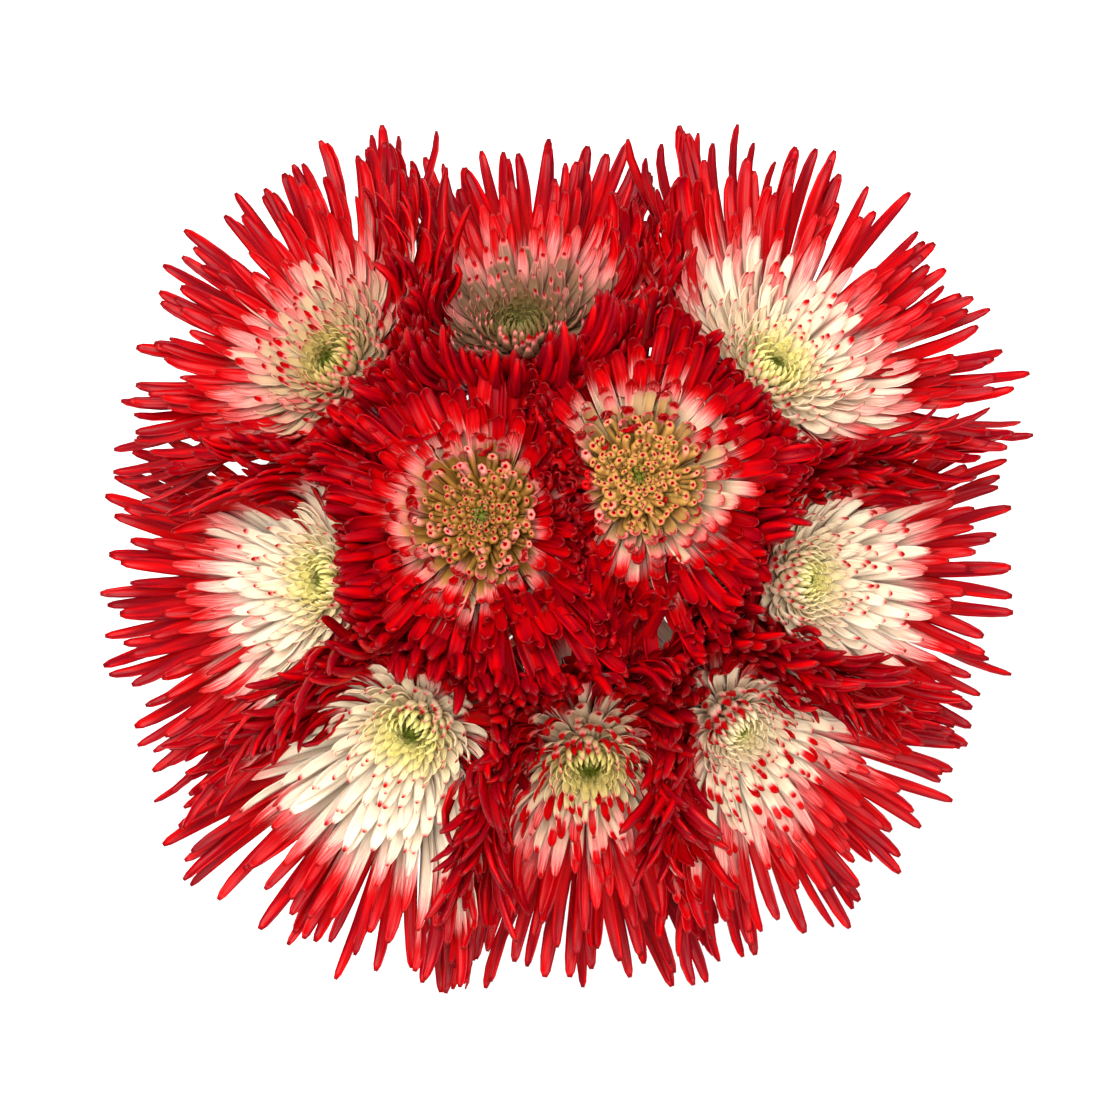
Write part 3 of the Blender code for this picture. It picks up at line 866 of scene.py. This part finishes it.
def stalk(bloom, line, random):
    """The stem with its cup: rings with ribs and a bell-shaped swelling at each joint."""
    depth, size = np.array(CUP_PROFILE).T * MM
    cup = bloom.base - depth[:, None] * bloom.axis
    points = np.concatenate([line[:1], line[:-1], cup])
    step = np.linalg.norm(np.diff(points, axis=0), axis=1)
    run = np.concatenate([[0], np.cumsum(step)])
    from_joint = (run / MM + random.uniform(0, 40)) % JOINT_STEP - JOINT_STEP / 2
    radius = STEM_RADIUS * (0.95 + 0.07 * np.exp(-((from_joint / JOINT_LENGTH) ** 2)))
    radius[0] = 0.72 * STEM_RADIUS
    radius[-len(cup):] = size
    along = np.gradient(points[1:], axis=0)
    along = unit(np.concatenate([along[:1], along]))
    along[-len(cup):] = bloom.axis
    u = unit(bloom.side - np.sum(bloom.side * along, axis=-1, keepdims=True) * along)
    v = np.cross(along, u)
    angle = np.arange(STEM_SIDES) * 2 * math.pi / STEM_SIDES
    ribbed = radius[:, None] < RIBBED_BELOW * STEM_RADIUS
    reach = (radius[:, None] * (1 + RIB_HEIGHT * np.cos(RIBS * angle[None, :]) * ribbed))[..., None]
    cos, sin = np.cos(angle)[:, None], np.sin(angle)[:, None]
    rings = points[:, None] + reach * (cos * u[:, None] + sin * v[:, None])
    rings[:2] -= along[:2, None] * (rings[:2, :, 2] / along[:2, None, 2])[..., None]
    pith = np.zeros(len(points))
    pith[0] = 1.0
    return turned(rings, angle[None] * STEM_RADIUS / MM, run[:, None] / MM,
                  leaf=0.0, vein=0.0, pale=pith[:, None])


# %% [markdown]
# ## Bracts and leaves
#
# The bracts overlap like tiles up the cup. The quill serves for them too, short, broad and shallow.

# %% Shape the bracts
# Depth under the base and distance from the axis in mm, how many, and the turn of the first in steps
BRACT_ROWS = ((8.2, 3.2, 9, 0.3), (5.8, 5.0, 12, 0.15), (3.2, 6.8, 15, 0.0))
BRACT = SimpleNamespace(
    rise=6.2 * MM, lean=3.6 * MM, sunk=0.3 * MM, half_width=1.7 * MM, opening=0.9, skin=0.3 * MM, green=0.4,
)


def bracts(bloom, random):
    """Rows of short broad quills that lie up the cup, with pale papery edges."""
    rows = [(low, far, (k + start) * 2 * math.pi / count) for low, far, count, start in BRACT_ROWS
            for k in range(count)]
    low, far, turn = np.array(rows).T
    low, far, turn = low * MM, far * MM, turn + random.normal(0, 0.05, len(rows))
    radial = around(bloom, turn)
    s = BLADE.stations[None, :]
    height = -low[:, None] + BRACT.rise * s
    out = far[:, None] + BRACT.lean * s - BRACT.sunk
    line = bloom.base + height[..., None] * bloom.axis + out[..., None] * radial[:, None]
    hinge = np.cross(bloom.axis, radial)[:, None] + np.zeros_like(line)
    across, up = petal_frames(line, hinge, np.zeros(line.shape[:2]))
    girth = np.interp(s, (0, 0.4, 0.8, 1), (0.6, 1.0, 0.75, 0.12))
    radius = BRACT.half_width * girth / math.sin(BRACT.opening) + 0 * low[:, None]
    opening = np.full(radius.shape, BRACT.opening)
    points = quill_points(BLADE, line, across, up, radius, opening, BRACT.skin)
    edge = np.where(np.abs(BLADE.profile) > 0.6, 0.5, 0.0)[None, None, :]
    u = (radius[..., None] * BLADE.profile) / MM
    v = 6.0 * s[..., None] + np.zeros(BLADE.sides)
    return surface(points, *quill_faces(BLADE, len(low)), u, v, leaf=BRACT.green, vein=0.0, pale=edge)


# %% [markdown]
# A leaf is a grid that is as wide as its lobed outline says, swept forward towards its edge, folded up
# along the rib and pressed in along the veins.

# %% Shape the leaves
LEAF = SimpleNamespace(
    length=56 * MM, half_width=17 * MM, thickness=0.9 * MM, steps=89, sides=17, droop=0.42, fold=0.22,
    teeth=0.06, sweep=0.10, rib_width=0.7 * MM, side_veins=(0.24, 0.46, 0.68), vein_slant=0.16,
    vein_width=0.014, vein_depth=0.5 * MM, wave=0.8 * MM,
)
# Place on the curve of the stem, size, and rise and swing in degrees
LEAF_ROWS = (
    (0.36, 1.0, 22, 12), (0.47, 0.86, 34, -14), (0.33, 1.06, 14, 6), (0.50, 0.92, 28, -10),
    (0.40, 1.08, 18, 16), (0.45, 0.84, 36, -6), (0.31, 1.0, 12, -16), (0.43, 0.9, 26, 8),
)
LEAF_SHARES = (0, 0.22, 0.30, 0.36, 0.41, 0.45, 0.52, 0.58, 0.63, 0.67, 0.73, 0.79, 0.84, 0.88, 0.94, 0.98, 1)
LEAF_WIDTHS = (
    0.05, 0.06, 0.30, 0.50, 0.50, 0.36, 0.68, 0.88, 0.84, 0.56, 0.84, 1.0, 0.90, 0.62, 0.54, 0.30, 0.04,
)
UPWARD = np.array([0.0, 0.0, 1.0])


def leaf(bloom, line):
    """A lobed blade of two skins that meet round its edge."""
    place, size, rises, swings = LEAF_ROWS[bloom.number - 1]
    root = along_paths(line[None, STRAIGHT_POINTS - 1:], np.array([place]))[0, 0]
    heading = math.atan2(root[1], root[0]) + math.radians(swings)
    out = np.array([math.cos(heading), math.sin(heading), 0.0])
    side = unit(np.cross(UPWARD, out))
    share = np.linspace(0, 1, LEAF.steps)[:, None]
    edge = np.linspace(-1, 1, LEAF.sides)[None, :]
    width = np.interp(share, LEAF_SHARES, LEAF_WIDTHS)
    width = width * (1 + LEAF.teeth * np.abs(np.sin(share * 70)) * (share > 0.28))
    swept = share + LEAF.sweep * width * np.abs(edge) ** 1.5 * (1 - share)
    along = swept * LEAF.length * size
    lift = along * (math.tan(math.radians(rises)) - LEAF.droop * swept)
    w = width * edge * LEAF.half_width * size
    away = share[None] - np.array(LEAF.side_veins)[:, None, None] - LEAF.vein_slant * np.abs(edge[None])
    side_vein = 0.8 * np.exp(-((away / LEAF.vein_width) ** 2)).max(axis=0)
    vein = np.maximum(np.exp(-((w / LEAF.rib_width) ** 2)), side_vein)
    wave = LEAF.wave * np.sin(share * 21 + 3 * np.sign(edge)) * np.abs(edge) ** 2 * (share > 0.25)
    rise = lift + np.abs(w) * LEAF.fold + wave - LEAF.vein_depth * vein * (share > 0.2)
    rib = root + along[..., None] * out + w[..., None] * side
    skin = LEAF.thickness / 2 * (1 - 0.7 * np.abs(edge) ** 4)
    top, low = rib + (rise + skin)[..., None] * UPWARD, rib + (rise - skin)[..., None] * UPWARD
    rings = np.concatenate([top, low[:, ::-1]], axis=1)
    count, sides = rings.shape[:2]
    strip = np.arange(LEAF.sides - 1)
    start = np.stack([strip, strip + 1, sides - 2 - strip, sides - 1 - strip], axis=-1)
    quads = np.concatenate([turned_faces(count, sides), start[:, ::-1], start + (count - 1) * sides])
    mapped = np.concatenate([w, w[:, ::-1]], axis=1) / MM
    veins = np.concatenate([vein, vein[:, ::-1]], axis=1)
    return surface(rings, quads, [], mapped, share * LEAF.length * size / MM, leaf=1.0, vein=veins, pale=0.0)


# %% [markdown]
# The green goes from the light, streaky one of a stem to the dull deep one of a leaf.

# %% Build the green material and make the stems
def green_material():
    """Stem green to leaf green, with lighter veins and pale pith."""
    material, tree, shader = new_material("green")
    grain = streaks(tree, 1.4, 0.10, 3.0)
    blotch = streaks(tree, 0.12, 0.08, 3.0)
    stem = mix_colour(tree, ramp(tree, grain, 0.3, 0.7), (0.16, 0.27, 0.05), (0.25, 0.36, 0.09))
    blade = mix_colour(tree, ramp(tree, blotch, 0.3, 0.7), (0.045, 0.12, 0.02), (0.085, 0.19, 0.035))
    colour = mix_colour(tree, mesh_value(tree, "leaf"), stem, blade)
    vein = calculate(tree, "MULTIPLY", mesh_value(tree, "vein"), 0.7)
    colour = mix_colour(tree, vein, colour, (0.20, 0.30, 0.09))
    colour = mix_colour(tree, mesh_value(tree, "pale"), colour, (0.66, 0.64, 0.42))
    dress(tree, shader, colour, 0.48, grain, 0.25, 0.3 * MM)
    return material


green_finish = green_material()
for bloom in blooms:
    stem_random = np.random.default_rng(SCENE_SEED + 100 + bloom.number)
    centre_line = stem_line(bloom)
    stem_parts = [stalk(bloom, centre_line, stem_random), bracts(bloom, stem_random)]
    if bloom.in_ring:
        stem_parts.append(leaf(bloom, centre_line))
    stem_node = f"stem_{bloom.number:02d}"
    make_piece(f"{stem_node}_green", stem_parts, green_finish, stem_node)

# %% [markdown]
# ## The tie
#
# Florists bind such a bunch with raffia, a flat dry strip of palm leaf. Each turn is a closed ribbon
# that follows the hourglass of the stems. The knot is a short loop with two hanging ends.

# %% Shape a ribbon
RIBBON_HALF_THICKNESS = 0.22 * MM
# Shares of the half width and of the half thickness
RIBBON_PROFILE = np.array([
    (-1, 0), (-0.5, 0.9), (0.1, 0.6), (0.6, 1.0), (1, 0), (0.5, -1), (-0.1, -0.8), (-0.6, -1),
])


def ribbon(line, face, half_width, closed):
    """A flat strip along a line that turns one side to the given direction."""
    if closed:
        along = unit(np.roll(line, -1, axis=0) - np.roll(line, 1, axis=0))
    else:
        along = unit(np.gradient(line, axis=0))
    across = unit(np.cross(face, along))
    out = np.cross(along, across)
    x = RIBBON_PROFILE[None, :, 0, None] * half_width
    y = RIBBON_PROFILE[None, :, 1, None] * RIBBON_HALF_THICKNESS
    points = line[:, None] + x * across[:, None] + y * out[:, None]
    count, sides = len(line), len(RIBBON_PROFILE)
    quads, tris = turned_faces(count + closed, sides) % (count * sides), []
    if not closed:
        last = (count - 1) * sides
        middle, tips = np.array([(1, 2, 6, 7), (2, 3, 5, 6)]), np.array([(0, 1, 7), (3, 4, 5)])
        quads = np.concatenate([quads, middle[:, ::-1], middle + last])
        tris = np.concatenate([tips[:, ::-1], tips + last])
    run = np.concatenate([[0], np.cumsum(np.linalg.norm(np.diff(line, axis=0), axis=1))]) / MM
    mapped = RIBBON_PROFILE[None, :, 0] * 2.0 + 7 * run[-1]
    return surface(points, quads, tris, mapped, run[:, None])


# %% [markdown]
# The turns are spread over the height of the tie and lie in three layers.

# %% Wind the tie
WRAPS = 9
TURN_POINTS = 72
TIE_HALF_HEIGHT = 7 * MM


def waist_radius(height):
    """Radius of the bundle of stems at a height above its waist."""
    return np.hypot(WAIST_RING, height * RING_SLOPE) + STEM_RADIUS


def raffia_turns(random):
    """Closed turns round the waist, each a little askew by a sine of its angle."""
    parts = []
    angle = np.linspace(0, 2 * math.pi, TURN_POINTS, endpoint=False)
    round_about = np.stack([np.cos(angle), np.sin(angle), 0 * angle], axis=-1)
    for wrap in range(WRAPS):
        middle = (wrap / (WRAPS - 1) * 2 - 1) * (TIE_HALF_HEIGHT - 2.0 * MM)
        askew = random.uniform(0.3, 1.2) * MM * np.sin(angle + random.uniform(0, 6.3))
        height = middle + askew
        layer = (0.55 + 0.5 * (wrap % 3) + 0.12 * np.sin(2 * angle + wrap)) * MM
        line = (waist_radius(height) + layer)[:, None] * round_about
        line[:, 2] = WAIST_Z + height
        parts.append(ribbon(line, round_about, random.uniform(1.7, 2.2) * MM, True))
    return parts


def raffia_knot():
    """A loop over the turns and two hanging ends, on the side towards -Y."""
    face = np.array([0.0, -1.0, 0.0])
    front = -(float(waist_radius(0.0)) + 2.0 * MM)
    t = np.linspace(-1, 1, 15)
    bulge = 1.5 * MM * np.cos(t * math.pi / 2)
    loop = np.stack([1.5 * MM * t, front - bulge, WAIST_Z + 7.4 * MM * t], axis=-1)
    parts = [ribbon(loop, face + 0 * loop, 2.0 * MM, False)]
    for hand, drop in ((-1, 34), (1, 27)):
        s = np.linspace(0, 1, 22)
        x = hand * (1.5 + 9 * s + 2.5 * np.sin(4 * s)) * MM
        y = front - (1.3 + 6 * np.sin(s * math.pi * 0.6)) * MM
        z = WAIST_Z + (2 - drop * s**1.4) * MM
        end = np.stack([x, y, z], axis=-1)
        facing = np.stack([hand * 0.8 * np.sin(3 * s), -np.ones_like(s), 0.4 * s], axis=-1)
        parts.append(ribbon(end, facing, (1.9 - 0.9 * s**3)[:, None, None] * MM, False))
    return parts


def raffia_material():
    """Straw colour with long fibres."""
    material, tree, shader = new_material("raffia")
    fibre = streaks(tree, 3.5, 0.05, 3.0)
    colour = mix_colour(tree, ramp(tree, fibre, 0.3, 0.7), (0.38, 0.25, 0.10), (0.72, 0.56, 0.32))
    dress(tree, shader, colour, 0.6, fibre, 0.5, 0.3 * MM)
    return material


tie_parts = raffia_turns(np.random.default_rng(SCENE_SEED + 200)) + raffia_knot()
make_piece("tie_raffia", tie_parts, raffia_material(), "tie")

# %% [markdown]
# ## Floor and light
#
# The bunch stands on a plain pale floor in an even white surround. A large soft lamp gives the petals
# their modelling, and a weaker one opens the shadows.

# %% Make the floor and the lights
FLOOR_HALF = 6.0
# Name, place, the point that it faces, size in m and power in W
LAMPS = (
    ("key_lamp", (-0.30, 0.42, 1.55), (0, 0, 0.25), 1.2, 41),
    ("fill_lamp", (0.60, -0.55, 1.4), (0, 0, 0.2), 1.0, 15),
)
SURROUND_STRENGTH = 0.56


def make_floor():
    """A plane far wider than any view of the bunch."""
    corners = [(x * FLOOR_HALF, y * FLOOR_HALF, 0) for x, y in ((-1, -1), (1, -1), (1, 1), (-1, 1))]
    mesh = bpy.data.meshes.new("floor")
    mesh.from_pydata(corners, [], [(0, 1, 2, 3)])
    material, _, shader = new_material("floor")
    shader.inputs["Base Color"].default_value = (0.95, 0.95, 0.95, 1.0)
    shader.inputs["Roughness"].default_value = 0.8
    mesh.materials.append(material)
    new_object("floor", mesh)


def make_lamp(name, place, target, size, power):
    """A square area lamp that faces a point."""
    data = bpy.data.lights.new(name, "AREA")
    data.size = size
    data.energy = power
    lamp = new_object(name, data)
    lamp.location = place
    away = unit(np.array(place) - np.array(target))
    lamp.rotation_euler = (math.acos(away[2]), 0.0, math.atan2(away[1], away[0]) + math.pi / 2)


make_floor()
for lamp_row in LAMPS:
    make_lamp(*lamp_row)
world = bpy.data.worlds.new("surround")
world.use_nodes = True
background = world.node_tree.nodes["Background"]
background.inputs["Color"].default_value = (1.0, 1.0, 1.0, 1.0)
background.inputs["Strength"].default_value = SURROUND_STRENGTH
bpy.context.scene.world = world
bpy.context.scene.view_settings.view_transform = "Standard"

# %% [markdown]
# ## The size of the frame
#
# The box of the imported frame is printed. The visual model has to stay in the imported
# one's box.

# %% Print the box of the frame
print("box of the frame:", cad_box)
